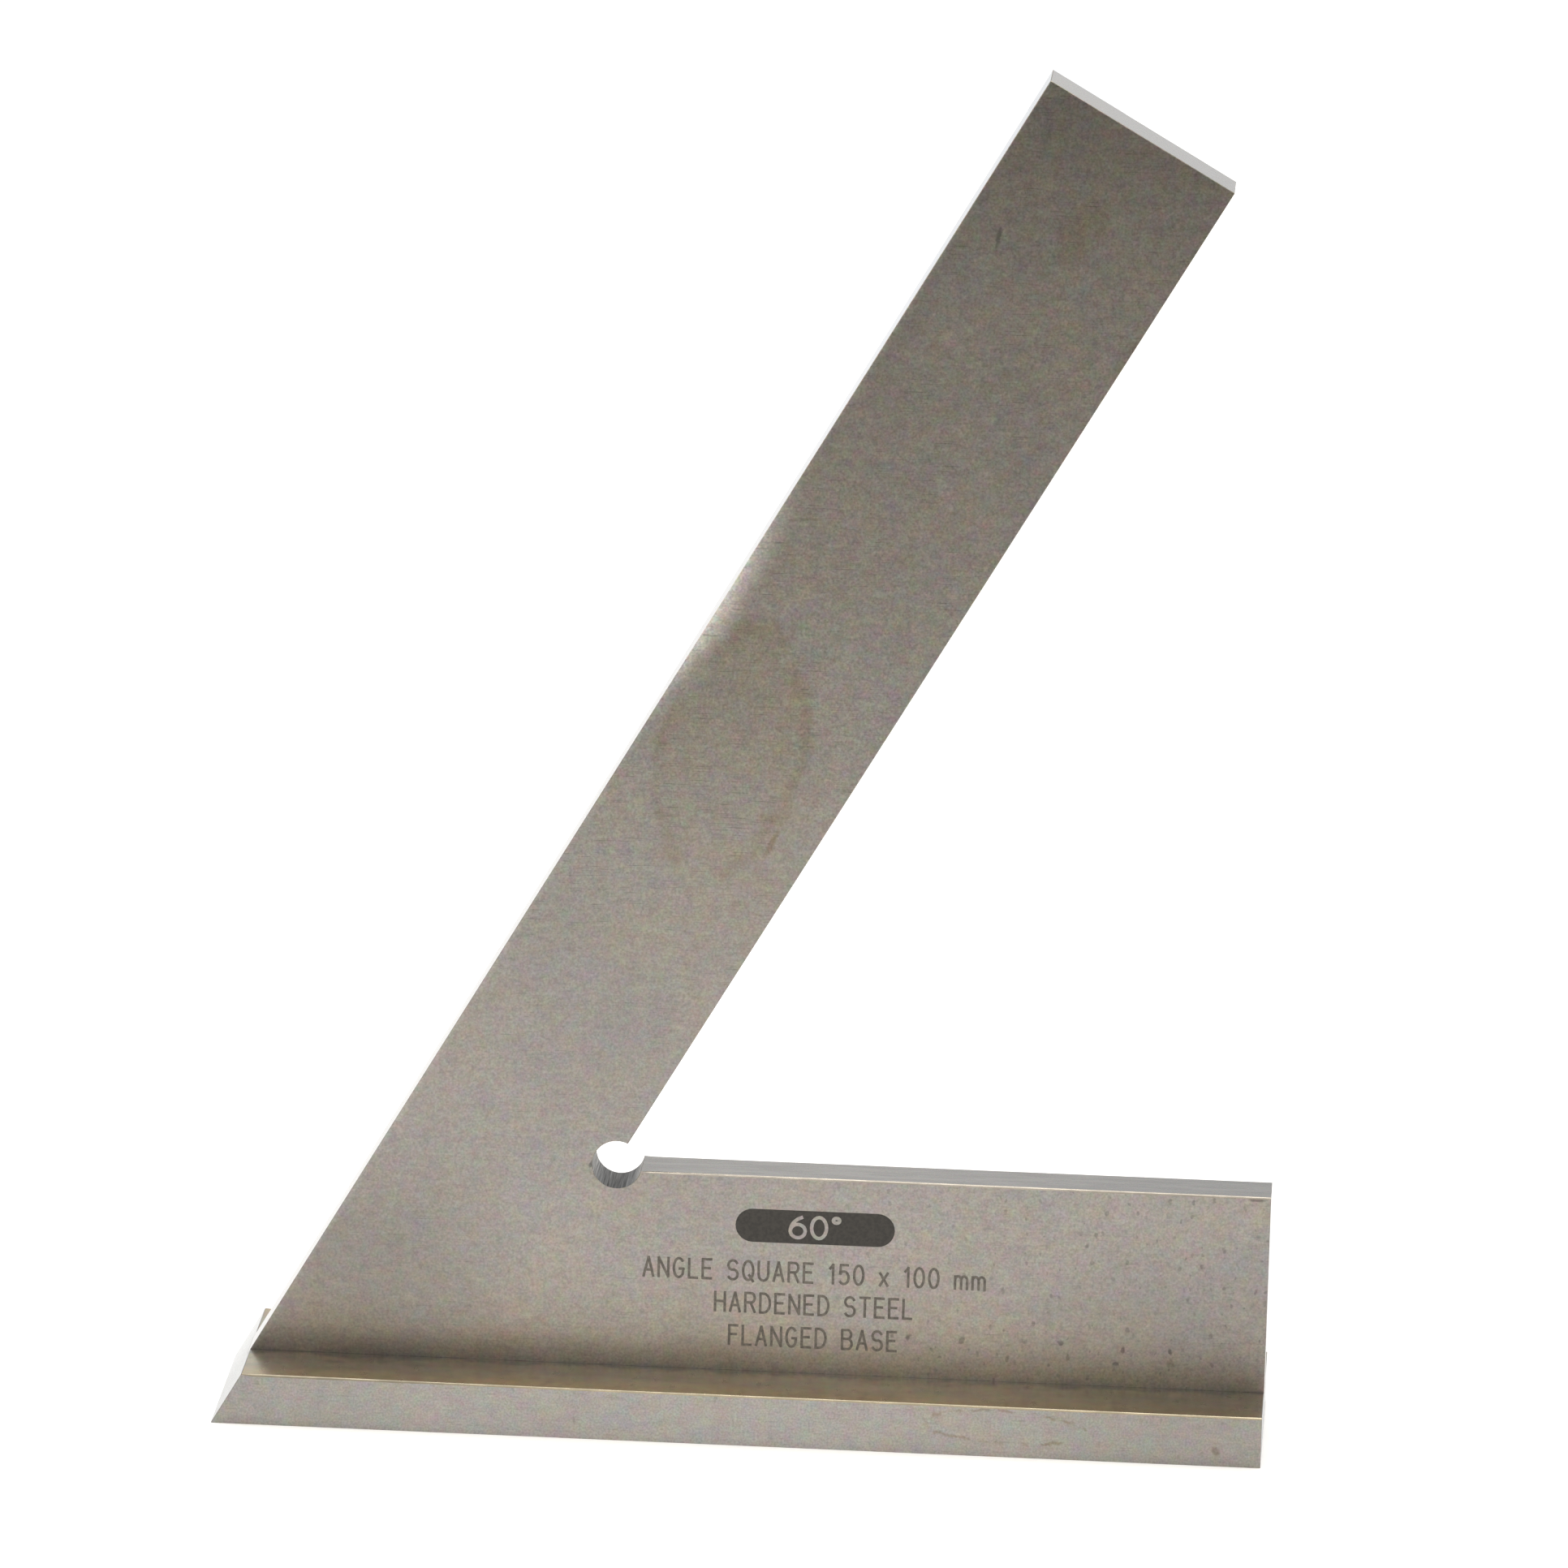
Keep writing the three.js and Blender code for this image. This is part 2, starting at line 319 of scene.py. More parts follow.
def plate_face(name, seed):
    """The plate's ground face: painted light and shade by height, painted shade above the base and in
    the lower corners, an oval stain, a painted highlight along the outer edge, marks of use.
    """
    shader = Shader(name)
    blotch = shader.ramp(shader.noise(6 * MM, seed + 5, detail=2), 0.3, 0.7)
    colour = shader.mix(blotch, STEEL_WARM, STEEL_COOL)
    colour = grained(shader, colour, seed)
    coarser = shader.ramp(shader.z, 30 * MM, 75 * MM, 0.0, 0.85)
    colour = shader.mix(coarser, colour, grained(shader, colour, seed + 40))
    # painted light and shade by height, darker at the top and just above the base
    for start, full, shade in PLATE_HEIGHT_SHADING:
        colour = shader.tint(colour, shader.ramp(shader.z, start * MM, full * MM), shade)

    # painted shade on the plate just above the base, with a wavering upper edge, fading out towards the
    # right
    corner_height = BASE_HIGH.z
    waver = shader.ramp(shader.noise((5 * MM, 5 * MM, 40 * MM), seed + 6, detail=2), 0.35, 0.65,
                        -0.1 * MM, 0.3 * MM)
    height = shader.maths("SUBTRACT", shader.z, waver)
    seam_shade_mask = shader.product(shader.ramp(height, corner_height + 3.4 * MM, corner_height + 0.2 * MM),
                          shader.ramp(shader.x, 34 * MM, -14 * MM))
    colour = shader.tint(colour, seam_shade_mask, (0.68, 0.70, 0.74))

    stain = shader.oval((-2.2 * MM, 66 * MM), 12.8 * MM, 7 * MM, 75, 0.35, seed + 7)
    stained = shader.product(shader.ramp(stain, 1.05, 0.75), shader.ramp(shader.z, 54 * MM, 74 * MM))
    colour = shader.tint(colour, stained, (0.94, 0.925, 0.865))
    rim = shader.maths("ABSOLUTE", shader.maths("SUBTRACT", stain, 0.94))
    broken = shader.ramp(shader.noise(4 * MM, seed + 8), 0.32, 0.52)
    colour = shader.tint(colour, shader.product(shader.ramp(rim, 0.15, 0.0), broken),
                         (0.91, 0.88, 0.82))
    for centre, length, width, tilt, shade in PLATE_BLEMISHES:
        spot = shader.oval((centre[0] * MM, centre[1] * MM), length * MM, width * MM, tilt, 0.5,
                           seed + centre[0])
        colour = shader.tint(colour, shader.ramp(spot, 1.1, 0.4), shade)

    along, inward = blade_place(shader)
    # painted highlight: lighter along the slanted outer edge, and much lighter in a patch of painted
    # glare
    colour = shader.tint(colour, shader.ramp(inward, 0.6 * MM, 0.1 * MM), (1.12, 1.13, 1.14))
    from_middle = shader.maths("ABSOLUTE", shader.maths("SUBTRACT", along, GLARE_PLACE))
    fading = shader.ramp(inward, GLARE_WIDTH, 0.0)
    painted_glare = shader.product(shader.ramp(from_middle, GLARE_REACH, 0.0), fading, fading)
    colour = shader.tint(colour, painted_glare, (2.15, 2.22, 2.3))

    # painted shade: darker low on the right and low on the left of the plate
    lower = shader.ramp(shader.z, 27 * MM, 8 * MM)
    right = shader.product(shader.ramp(shader.x, 10 * MM, 50 * MM), lower)
    colour = shader.tint(colour, right, (0.76, 0.77, 0.79))
    left = shader.product(shader.ramp(shader.x, -16 * MM, -36 * MM),
                          shader.ramp(shader.z, 34 * MM, 14 * MM))
    colour = shader.tint(colour, left, (0.78, 0.78, 0.78))

    handled = shader.product(shader.ramp(shader.x, 0, 30 * MM, 0.15, 0.5),
                             shader.ramp(shader.z, 75 * MM, 35 * MM, 0.45, 1.0))
    spots = shader.product(specks(shader, shader.z, 1.3 * MM, 0.24 * MM, 0.75, seed + 13), handled)
    low_band = shader.maths("ABSOLUTE", shader.maths("SUBTRACT", shader.z, 8.2 * MM))
    row = shader.product(specks(shader, shader.z, 2.2 * MM, 0.5 * MM, 0.6, seed + 14),
                         shader.ramp(low_band, 1.3 * MM, 0.9 * MM),
                         shader.ramp(shader.x, 10 * MM, 16 * MM, 0.0, 0.8))
    spots = shader.maths("MAXIMUM", spots, row)
    line_depth = shader.ramp(shader.z, 30 * MM, 60 * MM, 0.45, 0.9)
    return ground_finish(shader, colour, 0.4, seed, spots, line_depth)


def base_face(name, seed):
    """The base bar's ground sides, with faint brown smudges near the free end."""
    shader = Shader(name)
    blotch = shader.ramp(shader.noise(5 * MM, seed + 5, detail=2), 0.35, 0.65)
    colour = shader.mix(blotch, (0.362, 0.341, 0.317), (0.352, 0.341, 0.326))
    colour = grained(shader, colour, seed)
    # darker towards both ends
    toward_ends = shader.ramp(shader.maths("ABSOLUTE", shader.x), 20 * MM, 50 * MM)
    colour = shader.tint(colour, toward_ends, (0.84, 0.84, 0.84))
    colour = shader.tint(colour, shader.ramp(shader.x, 5 * MM, 25 * MM), (0.97, 0.96, 0.945))
    smudge = shader.oval((25.5 * MM, 3.0 * MM), 7.8 * MM, 1.7 * MM, -2, 0.5, seed + 6)
    trail = shader.ramp(shader.maths("ABSOLUTE", shader.maths("SUBTRACT", smudge, 0.95)), 0.12, 0.0)
    broken = shader.ramp(shader.noise(1.2 * MM, seed + 7), 0.4, 0.6)
    colour = shader.tint(colour, shader.product(trail, broken), (0.76, 0.69, 0.61))
    spot = shader.oval((45.7 * MM, 1.5 * MM), 0.6 * MM, 0.4 * MM, -60, 0.6, seed + 8)
    colour = shader.tint(colour, shader.ramp(spot, 1.1, 0.5), (0.75, 0.70, 0.68))
    spots = shader.product(specks(shader, shader.z, 2.4 * MM, 0.3 * MM, 0.5, seed + 13), 0.3)
    return ground_finish(shader, colour, 0.36, seed, spots)


def base_ledge(name, seed):
    """The base bar's top: smoother and browner, with painted shade against the plate and a painted
    highlight towards its long edges.
    """
    shader = Shader(name)
    smear = shader.ramp(shader.noise((7 * MM, 1.6 * MM, 7 * MM), seed + 5, detail=3), 0.3, 0.7)
    colour = grained(shader, shader.mix(smear, (0.68, 0.615, 0.50), (0.77, 0.695, 0.55)), seed, 0.08)
    colour = shader.tint(colour, shader.ramp(shader.x, 5 * MM, 45 * MM), (0.72, 0.74, 0.76))
    away = shader.maths("ABSOLUTE", shader.y)
    # painted highlight: warmer and lighter towards the long edges, the spread of the edge's highlight
    colour = shader.tint(colour, shader.ramp(away, 6 * MM, BASE_HIGH.y), (1.08, 1.0, 0.84))
    # painted shade on the ledge next to the plate, with a wavering edge
    waver = shader.ramp(shader.noise((5 * MM, 40 * MM, 5 * MM), seed + 6, detail=2), 0.35, 0.65,
                        0.0, 1.0 * MM)
    reach = shader.maths("SUBTRACT", away, waver)
    colour = shader.tint(colour, shader.ramp(reach, PLATE_HIGH.y + 0.9 * MM, PLATE_HIGH.y), LEDGE_SHADE_TINT)
    spots = shader.product(specks(shader, shader.y, 2.0 * MM, 0.4 * MM, 0.5, seed + 13), 0.35)
    return ground_finish(shader, colour, 0.24, seed, spots)


def lapped_edge(name, dark, light, seed, top=1.0, rear=1.0):
    """The working edges and the bar's ends, with marks along them; top and rear multiply the colour on
    those sides, painted shade below 1 and painted light above 1.
    """
    shader = Shader(name)
    streaks = shader.noise((6 * MM, 0.7 * MM, 6 * MM), seed, detail=3, roughness=0.6)
    colour = shader.mix(shader.ramp(streaks, 0.35, 0.65), dark, light)
    colour = shader.vary(colour, 0.2 * MM, 0.14, seed + 1, hue=True)
    colour = shader.tint(colour, shader.ramp(shader.x, 10 * MM, 50 * MM), (0.85, 0.86, 0.87))
    colour = shader.tint(colour, shader.ramp(shader.z, 98 * MM, 128 * MM), (top, top, top))
    colour = shader.tint(colour, shader.ramp(shader.y, -1 * MM, 8 * MM), (rear, rear, rear))
    rough = shader.ramp(streaks, 0.3, 0.7, 0.24, 0.3)
    return shader.finish(colour, rough, shader.bump(streaks, 0.001 * MM))


def burnished_edge_with_highlight(name, dull, bright, seed):
    """The narrow broken edges: burnished and smooth, their colour lifted and warmed as a painted
    highlight, and darker towards the sharp end as painted shade.
    """
    shader = Shader(name)
    wear = shader.noise((2.5 * MM, 0.6 * MM, 0.6 * MM), seed, detail=3, roughness=0.7)
    colour = shader.mix(shader.ramp(wear, 0.35, 0.65), dull, bright)
    colour = shader.tint(colour, shader.ramp(shader.x, -12 * MM, -36 * MM), (0.66, 0.67, 0.70))
    return shader.finish(colour, shader.ramp(wear, 0.3, 0.7, 0.34, 0.22), shader.bump(wear, 0.002 * MM))


def drilled_wall(name, seed):
    """The relief's wall: dull and dark, with marks along its axis."""
    shader = Shader(name)
    streaks = shader.noise((0.16 * MM, 6 * MM, 0.16 * MM), seed, detail=3, roughness=0.7)
    colour = shader.mix(shader.ramp(streaks, 0.3, 0.7), (0.075, 0.074, 0.071), (0.22, 0.216, 0.208))
    return shader.finish(colour, shader.ramp(streaks, 0.3, 0.7, 0.5, 0.36),
                         shader.bump(streaks, 0.01 * MM))


def etched_ink(name, dark, light, seed):
    """A dull dark oxide mark, a little uneven."""
    shader = Shader(name)
    patch = shader.noise(0.3 * MM, seed, detail=2)
    colour = shader.mix(shader.ramp(patch, 0.35, 0.65), dark, light)
    return shader.finish(colour, shader.ramp(patch, 0.3, 0.7, 0.6, 0.75),
                         shader.bump(patch, 0.003 * MM), metallic=0.3)


def fastener_steel(name, dark, light, roughness, seed):
    """Turned steel, with fine rings from the tool."""
    shader = Shader(name)
    patch = shader.noise(0.8 * MM, seed, detail=3)
    rings = shader.noise((4 * MM, 4 * MM, 0.05 * MM), seed + 1, detail=1)
    colour = shader.mix(shader.ramp(patch, 0.3, 0.7), dark, light)
    return shader.finish(colour, shader.ramp(patch, 0.3, 0.7, roughness, roughness + 0.12),
                         shader.bump(rings, 0.003 * MM))


def floor_paper(name):
    """White card lit a little from beneath, so the object's shadow nearly vanishes."""
    shader = Shader(name)
    fibre = shader.noise(0.8 * MM, 2, detail=3)
    shader.surface.inputs["Specular IOR Level"].default_value = 0.2
    shader.surface.inputs["Emission Color"].default_value = (1, 1, 1, 1)
    shader.surface.inputs["Emission Strength"].default_value = FLOOR_GLOW
    colour = shader.mix(shader.ramp(fibre, 0.3, 0.7), (0.90, 0.90, 0.90), (0.93, 0.93, 0.93))
    return shader.finish(colour, shader.ramp(fibre, 0.3, 0.7, 0.85, 0.95),
                         shader.bump(fibre, 0.01 * MM), metallic=0.0)


# ======== pieces ========
def new_object(name, mesh, materials):
    piece = bpy.data.objects.new(name, mesh)
    bpy.context.scene.collection.objects.link(piece)
    for material in materials:
        mesh.materials.append(material)
    return piece


def flat_faced_copy(node):
    """The CAD node's mesh with its shared corners joined and each flat face in one polygon."""
    mesh = bpy.data.meshes.new(node)
    work = bmesh.new()
    work.from_mesh(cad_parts[node].data)
    bmesh.ops.remove_doubles(work, verts=work.verts, dist=0.001 * MM)
    bmesh.ops.dissolve_limit(work, angle_limit=math.radians(0.5), verts=work.verts, edges=work.edges)
    work.to_mesh(mesh)
    work.free()
    return mesh


def weigh_edges(work, on_top_edge):
    """Bevel weights: 1 on the long top edges but for their first stretch, small on the others."""
    weight = work.edges.layers.float.new("bevel_weight_edge")
    sharp = [edge for edge in work.edges if edge.calc_face_angle(0) > SHARP_ANGLE]
    for edge in sharp:
        edge[weight] = EDGE_BREAK / TOP_EDGE_BREAK
    for edge in sharp:
        start, end = sorted(edge.verts, key=lambda vert: vert.co.x)
        level = abs(start.co.y - end.co.y) < TOP_EDGE_BREAK
        if level and on_top_edge(start.co) and on_top_edge(end.co):
            _, middle = bmesh.utils.edge_split(edge, start, TOP_EDGE_TAPER / edge.calc_length())
            for part in middle.link_edges:
                whole = part.other_vert(middle) is end
                part[weight] = 1.0 if whole else EDGE_BREAK / TOP_EDGE_BREAK


def with_broken_edges(piece, on_top_edge):
    """Bevels the edges for good: the long top ones wide (slot 1), the rest narrow and plain."""
    work = bmesh.new()
    work.from_mesh(piece.data)
    weigh_edges(work, on_top_edge)
    work.to_mesh(piece.data)
    work.free()
    bevel = piece.modifiers.new("broken_edges", "BEVEL")
    bevel.width = TOP_EDGE_BREAK
    bevel.segments = 2
    bevel.limit_method = "WEIGHT"
    bevel.material = 1
    bevel.use_clamp_overlap = False
    graph = bpy.context.evaluated_depsgraph_get()
    finished = bpy.data.meshes.new_from_object(piece.evaluated_get(graph))
    piece.modifiers.clear()
    piece.data = finished
    for face in finished.polygons:
        if face.material_index == 1:
            face.use_smooth = True
            face.material_index = 1 if on_top_edge(face.center) else 0


def relief_circle():
    """The centre and radius of the round relief at the inner corner, found from its own wall."""
    wall = [v.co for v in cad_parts["square_plate"].data.vertices
            if RELIEF_BAND[0] < v.co.z < RELIEF_BAND[1]]
    low = min(wall, key=lambda co: co.z)
    radius = low.x - min(co.x for co in wall)
    return Vector((low.x, 0, low.z + radius)), radius


def make_plate(face_material):
    materials = [
        face_material,
        # cream: partly a painted highlight on the burnished top edge
        burnished_edge_with_highlight("plate_edge_break", (0.33, 0.303, 0.262), (0.44, 0.402, 0.35), seed=31),
        drilled_wall("relief_wall", seed=41),
        # top 0.85: painted shade near the blade's top on its side edges; top 1.1: painted light on its
        # top end
        lapped_edge("plate_edge", (0.51, 0.515, 0.525), (0.56, 0.565, 0.575), seed=51, top=0.85),
        lapped_edge("level_edge", (0.535, 0.51, 0.48), (0.575, 0.55, 0.52), seed=57, top=1.1),
    ]
    plate = new_object("plate_ground", flat_faced_copy("square_plate"), materials)
    centre, radius = relief_circle()
    for face in plate.data.polygons:
        if abs(face.normal.y) > 0.9:
            continue
        away = face.center - centre
        away.y = 0
        if away.length < 1.05 * radius:
            face.material_index = 2
        else:
            face.material_index = 4 if face.normal.z > 0.5 else 3
    level_faces = [face for face in plate.data.polygons if face.normal.z > 0.99]
    leg_top = max(level_faces, key=lambda face: face.area).center.z
    with_broken_edges(plate, lambda p: abs(p.z - leg_top) < ON_EDGE
                      and abs(p.y) > PLATE_HIGH.y - ON_EDGE)
    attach(plate, "root")
    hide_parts("square_plate")


def make_base():
    materials = [
        base_face("base_face", seed=71),
        # golden: partly a painted highlight on the burnished top edges
        burnished_edge_with_highlight("base_edge_break", (0.36, 0.318, 0.232), (0.47, 0.41, 0.30), seed=81),
        base_ledge("base_ledge", seed=61),
        # rear 1.25: painted light on the rear of the base's ends
        lapped_edge("base_end", (0.38, 0.395, 0.41), (0.44, 0.455, 0.47), seed=55, rear=1.25),
    ]
    base = new_object("base_ground", flat_faced_copy("base_bar"), materials)
    for face in base.data.polygons:
        if face.normal.z > 0.9:
            face.material_index = 2
        elif abs(face.normal.x) > 0.5:
            face.material_index = 3
    with_broken_edges(base, lambda p: p.z > BASE_HIGH.z - ON_EDGE
                      and abs(p.y) > BASE_HIGH.y - ON_EDGE)
    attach(base, "root")
    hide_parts("base_bar")


def dress_fasteners():
    screw = fastener_steel("screw_black", (0.1, 0.1, 0.105), (0.2, 0.2, 0.2), 0.35, seed=91)
    dowel = fastener_steel("dowel_bright", (0.5, 0.5, 0.49), (0.62, 0.61, 0.59), 0.22, seed=95)
    for name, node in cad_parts.items():
        if name.startswith("fixing_screw"):
            node.data.materials.clear()
            node.data.materials.append(screw)
        elif name.startswith("dowel_pin"):
            node.data.materials.clear()
            node.data.materials.append(dowel)


# ======== lettering ========
# A letter is drawn as strokes on a grid 4 wide and 6 high, as an engraving machine does.
def arc(x, y, rx, ry, start, end, steps=10):
    """Points on an oval, from one angle in degrees to another."""
    turns = [math.radians(start + (end - start) * i / steps) for i in range(steps + 1)]
    return [(x + rx * math.cos(a), y + ry * math.sin(a)) for a in turns]


LETTERS = {
    "A": (4, [[(0, 0), (2, 6), (4, 0)], [(0.7, 2), (3.3, 2)]]),
    "B": (4, [[(0, 0), (0, 6), *arc(2.3, 4.6, 1.4, 1.4, 90, -90), (0, 3.2)],
              [(0, 3.2), *arc(2.4, 1.6, 1.6, 1.6, 90, -90), (0, 0)]]),
    "D": (4, [[(0, 0), (0, 6), *arc(1.4, 3, 2.6, 3, 90, -90), (0, 0)]]),
    "E": (3.6, [[(3.6, 6), (0, 6), (0, 0), (3.6, 0)], [(0, 3.2), (3, 3.2)]]),
    "F": (3.4, [[(3.4, 6), (0, 6), (0, 0)], [(0, 3.2), (2.8, 3.2)]]),
    "G": (4.1, [[*arc(2.1, 3, 2.1, 3, 45, 320, 18), (4, 2.7), (2.4, 2.7)]]),
    "H": (4, [[(0, 0), (0, 6)], [(4, 0), (4, 6)], [(0, 3.1), (4, 3.1)]]),
    "L": (3.4, [[(0, 6), (0, 0), (3.4, 0)]]),
    "N": (4, [[(0, 0), (0, 6), (4, 0), (4, 6)]]),
    "Q": (4.2, [arc(2.1, 3, 2.1, 3, 0, 360, 20), [(2.5, 1.6), (4.2, -0.4)]]),
    "R": (4, [[(0, 0), (0, 6), *arc(2.4, 4.5, 1.5, 1.5, 90, -90), (0, 3)], [(2.2, 3), (4, 0)]]),
    "S": (4, [[*arc(2, 4.5, 1.9, 1.5, 25, 250, 12), *arc(2, 1.6, 2, 1.6, 70, -150, 12)]]),
    "T": (4, [[(0, 6), (4, 6)], [(2, 6), (2, 0)]]),
    "U": (4, [[(0, 6), *arc(2, 2, 2, 2, 180, 360), (4, 6)]]),
    "x": (3.2, [[(0, 0), (3.2, 4)], [(0, 4), (3.2, 0)]]),
    "m": (5, [[(0, 0), (0, 4)], [*arc(1.25, 2.8, 1.25, 1.2, 180, 0), (2.5, 0)],
              [*arc(3.75, 2.8, 1.25, 1.2, 180, 0), (5, 0)]]),
    "0": (3.8, [arc(1.9, 3, 1.9, 3, 0, 360, 20)]),
    "1": (2, [[(0.3, 4.7), (1.6, 6), (1.6, 0)]]),
    "5": (3.8, [[(3.5, 6), (0.5, 6), (0.3, 3.2), *arc(1.8, 2, 2, 2, 130, -140, 12)]]),
    "6": (3.8, [arc(1.9, 1.9, 1.9, 1.9, 0, 360, 20), arc(4.6, 1.9, 4.6, 4.2, 180, 112, 8)]),
    "°": (1.8, [arc(0.9, 5.3, 0.8, 0.7, 0, 360, 12)]),
    " ": (2.4, []),
}
GRID_WIDTH = 4
GRID_HEIGHT = 6


def text_strokes(text, width, height, gap):
    """Each stroke's points in metres, with the text's middle at the origin."""
    unit_x, unit_y = width / GRID_WIDTH, height / GRID_HEIGHT
    cursor, strokes = 0.0, []
    for letter in text:
        letter_width, drawn = LETTERS[letter]
        for stroke in drawn:
            strokes.append([(cursor + x * unit_x, y * unit_y - height / 2) for x, y in stroke])
        cursor += letter_width * unit_x + gap
    length = cursor - gap
    return [[(x - length / 2, y) for x, y in stroke] for stroke in strokes]


def smooth_runs(points):
    """The stroke cut wherever it turns sharply, so that each part can be drawn with square ends."""
    runs, run = [], [points[0]]
    for before, point, after in zip(points, points[1:], points[2:]):
        run.append(point)
        into = Vector(point) - Vector(before)
        out = Vector(after) - Vector(point)
        if into.angle(out) > CORNER_TURN:
            runs.append(run)
            run = [point]
    runs.append([*run, points[-1]])
    return runs


def ribbon(work, points, width, front, thickness):
    """A closed flat bar of that width along the points, standing thickness proud of Y = front.

    An open end runs on past its point by STROKE_OVERRUN of the width.
    """
    points = [Vector((x, 0, z)) for x, z in points]
    closed = (points[0] - points[-1]).length < 1e-6
    if closed:
        points = points[:-1]
    sides = []
    count = len(points)
    for i, point in enumerate(points):
        before = points[i - 1] if (i or closed) else None
        after = points[(i + 1) % count] if (i < count - 1 or closed) else None
        into = (point - before).normalized() if before is not None else (after - point).normalized()
        out = (after - point).normalized() if after is not None else into
        along = (into + out).normalized()
        half_turn_cosine = math.sqrt(max(0.0, (1 + into.dot(out)) / 2))
        reach = width / 2 / max(MITRE_LIMIT, half_turn_cosine)
        side = Vector((-along.z, 0, along.x)) * reach
        if before is None:
            point = point - into * width * STROKE_OVERRUN
        if after is None:
            point = point + out * width * STROKE_OVERRUN
        sides.append((point + side, point - side))
    rings = []
    for left, right in sides:
        ring = []
        for corner, depth in ((left, front), (right, front), (right, front - thickness),
                              (left, front - thickness)):
            ring.append(work.verts.new((corner.x, depth, corner.z)))
        rings.append(ring)
    pairs = list(zip(rings, rings[1:]))
    if closed:
        pairs.append((rings[-1], rings[0]))
    for ring, following in pairs:
        for k in range(4):
            work.faces.new((ring[k], ring[(k + 1) % 4], following[(k + 1) % 4], following[k]))
    if not closed:
        work.faces.new(rings[0][::-1])
        work.faces.new(rings[-1])


def lettering(name, text, centre, width, height, gap, stroke, front, thickness, material):
    """Neighbouring strokes stand at slightly different heights, so that no two faces coincide."""
    work = bmesh.new()
    runs = [run for points in text_strokes(text, width, height, gap) for run in smooth_runs(points)]
    for index, points in enumerate(runs):
        moved = [(x + centre[0], z + centre[1]) for x, z in points]
        ribbon(work, moved, stroke, front, thickness + index % STROKE_LEVELS * STROKE_STEP)
    bmesh.ops.recalc_face_normals(work, faces=work.faces)
    mesh = bpy.data.meshes.new(name)
    work.to_mesh(mesh)
    work.free()
    return new_object(name, mesh, [material])


def badge_plate(name, centre, size, front, thickness, material):
    """A dark bar with round ends, standing thickness proud of Y = front."""
    half, radius = size[0] / 2, size[1] / 2
    straight = half - radius
    outline = []
    for side, start in ((1, -90), (-1, 90)):
        for i in range(BADGE_END_STEPS + 1):
            turn = math.radians(start + 180 * i / BADGE_END_STEPS)
            outline.append((side * straight + radius * math.cos(turn), radius * math.sin(turn)))
    work = bmesh.new()
    front_ring = [work.verts.new((x + centre[0], front - thickness, z + centre[1])) for x, z in outline]
    back_ring = [work.verts.new((x + centre[0], front, z + centre[1])) for x, z in outline]
    work.faces.new(front_ring)
    work.faces.new(back_ring[::-1])
    for i in range(len(outline)):
        j = (i + 1) % len(outline)
        work.faces.new((front_ring[i], back_ring[i], back_ring[j], front_ring[j]))
    bmesh.ops.recalc_face_normals(work, faces=work.faces)
    mesh = bpy.data.meshes.new(name)
    work.to_mesh(mesh)
    work.free()
    return new_object(name, mesh, [material])


def make_marks(face_material):
    front = PLATE_LOW.y
    ink = etched_ink("etched_line", (0.11, 0.10, 0.09), (0.18, 0.165, 0.145), seed=101)
    solid = etched_ink("etched_solid", (0.042, 0.040, 0.037), (0.065, 0.061, 0.056), seed=103)
    marks = [badge_plate("etched_badge", (MARK_CENTRE_X, BADGE_HEIGHT), BADGE_SIZE, front,
                         MARK_THICKNESS, solid),
             lettering("badge_numerals", BADGE_TEXT, (MARK_CENTRE_X, BADGE_HEIGHT), NUMERAL_WIDTH,
                       NUMERAL_HEIGHT, NUMERAL_GAP, NUMERAL_STROKE, front - MARK_THICKNESS,
                       MARK_THICKNESS, face_material)]
    for index, (text, height) in enumerate(MARK_LINES):
        marks.append(lettering(f"etched_line_{index + 1}", text, (MARK_CENTRE_X, height), LETTER_WIDTH,
                               LETTER_HEIGHT, LETTER_GAP, LETTER_STROKE, front, MARK_THICKNESS, ink))
    for mark in marks:
        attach(mark, "root")


# ======== studio ========
def make_camera():
    data = bpy.data.cameras.new("photo_camera")
    data.sensor_width = SENSOR_WIDTH
    data.lens = FOCAL_LENGTH
    data.clip_start = 0.05
    data.clip_end = 20
    camera = bpy.data.objects.new("photo_camera", data)
    bpy.context.scene.collection.objects.link(camera)
    azimuth, elevation = math.radians(CAMERA_AZIMUTH), math.radians(CAMERA_ELEVATION)
    back = Vector((math.sin(azimuth) * math.cos(elevation), -math.cos(azimuth) * math.cos(elevation),
                   math.sin(elevation)))
    camera.location = CAMERA_TARGET + back * CAMERA_DISTANCE
    aim = (-back).to_track_quat("-Z", "Y").to_matrix()
    roll = Matrix.Rotation(math.radians(CAMERA_ROLL), 3, "Z")
    camera.rotation_euler = (aim @ roll).to_euler()
    bpy.context.scene.camera = camera


def make_floor():
    corners = [(-FLOOR_HALF_WIDTH, FLOOR_FRONT), (FLOOR_HALF_WIDTH, FLOOR_FRONT),
               (FLOOR_HALF_WIDTH, FLOOR_BACK), (-FLOOR_HALF_WIDTH, FLOOR_BACK)]
    mesh = bpy.data.meshes.new("floor")
    mesh.from_pydata([(x, y, 0) for x, y in corners], [], [(0, 1, 2, 3)])
    new_object("floor", mesh, [floor_paper("floor_paper")])


def area_light(name, place, aim, size, power, colour):
    data = bpy.data.lights.new(name, "AREA")
    data.shape = "RECTANGLE"
    data.size, data.size_y = size
    data.energy = power
    data.color = colour
    light = bpy.data.objects.new(name, data)
    light.location = place
    light.rotation_euler = (Vector(aim) - Vector(place)).to_track_quat("-Z", "Y").to_euler()
    bpy.context.scene.collection.objects.link(light)


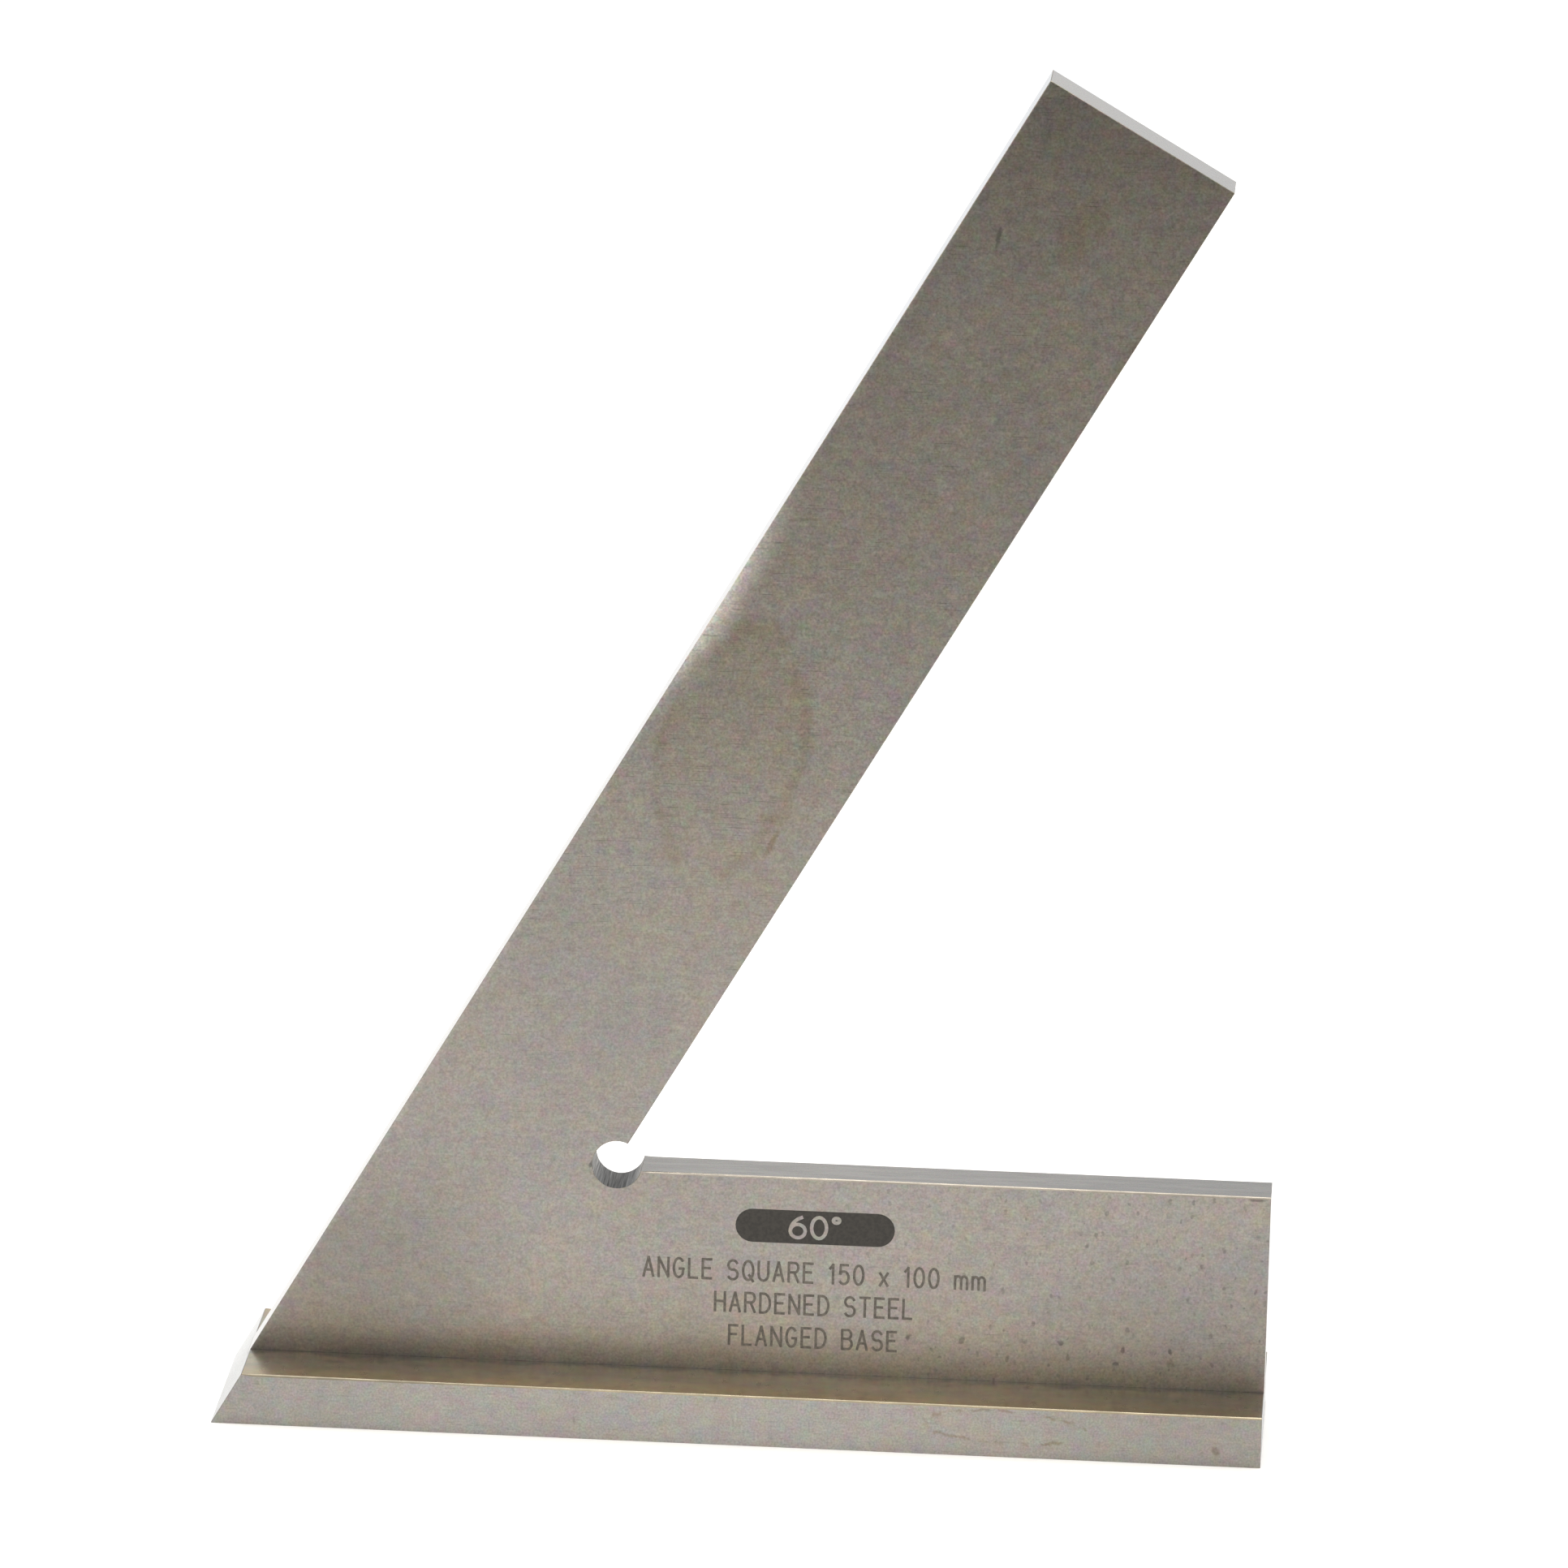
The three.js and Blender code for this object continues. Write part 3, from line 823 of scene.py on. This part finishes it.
def make_lights():
    area_light("overhead", (0.05, 0.15, 1.0), (0, 0.1, 0), (0.8, 0.8), 4, (1.0, 0.97, 0.92))


# The room that the steel reflects: in front of the object, behind it and above it, low and high.
ROOM_FRONT_LOW = (0.20, 0.20, 0.20)
ROOM_FRONT_HIGH = (1.32, 1.22, 1.06)
ROOM_BACK_LOW = (1.35, 1.36, 1.38)
ROOM_BACK_HIGH = (0.50, 0.51, 0.52)
ROOM_CEILING = (1.1, 1.08, 1.05)


def make_world():
    """A white page behind the object; what the steel reflects is a room, pale behind and above it."""
    world = bpy.data.worlds.new("studio")
    world.use_nodes = True
    bpy.context.scene.world = world
    tree = world.node_tree
    tree.nodes.clear()
    links = tree.links
    direction = tree.nodes.new("ShaderNodeSeparateXYZ")
    links.new(tree.nodes.new("ShaderNodeTexCoord").outputs["Generated"], direction.inputs[0])

    def ramp(socket, low, high):
        node = tree.nodes.new("ShaderNodeMapRange")
        node.interpolation_type = "SMOOTHSTEP"
        links.new(direction.outputs[socket], node.inputs["Value"])
        node.inputs["From Min"].default_value = low
        node.inputs["From Max"].default_value = high
        return node.outputs["Result"]

    def blend(factor, a, b):
        node = tree.nodes.new("ShaderNodeMix")
        node.data_type = "RGBA"
        links.new(factor, node.inputs[0])
        for index, value in ((6, a), (7, b)):
            if isinstance(value, tuple):
                node.inputs[index].default_value = (*value, 1.0)
            else:
                links.new(value, node.inputs[index])
        return node.outputs[2]

    back = blend(ramp("Z", -0.05, 0.30), ROOM_BACK_LOW, ROOM_BACK_HIGH)
    front = blend(ramp("Z", 0.08, 0.30), ROOM_FRONT_LOW, ROOM_FRONT_HIGH)
    sides = blend(ramp("Y", -0.35, 0.6), front, back)
    room = blend(ramp("Z", 0.30, 0.80), sides, ROOM_CEILING)
    lit = tree.nodes.new("ShaderNodeBackground")
    links.new(room, lit.inputs["Color"])
    page = tree.nodes.new("ShaderNodeBackground")
    page.inputs["Color"].default_value = (1, 1, 1, 1)
    page.inputs["Strength"].default_value = 1.1
    choose = tree.nodes.new("ShaderNodeMixShader")
    links.new(tree.nodes.new("ShaderNodeLightPath").outputs["Is Camera Ray"], choose.inputs[0])
    links.new(lit.outputs[0], choose.inputs[1])
    links.new(page.outputs[0], choose.inputs[2])
    links.new(choose.outputs[0], tree.nodes.new("ShaderNodeOutputWorld").inputs[0])


# ======== scene ========
bpy.context.scene.view_settings.view_transform = "Standard"
make_camera()
ground_plate_face = plate_face("plate_face", seed=1)
make_plate(ground_plate_face)
make_marks(ground_plate_face)
make_base()
dress_fasteners()
make_floor()
make_lights()
make_world()
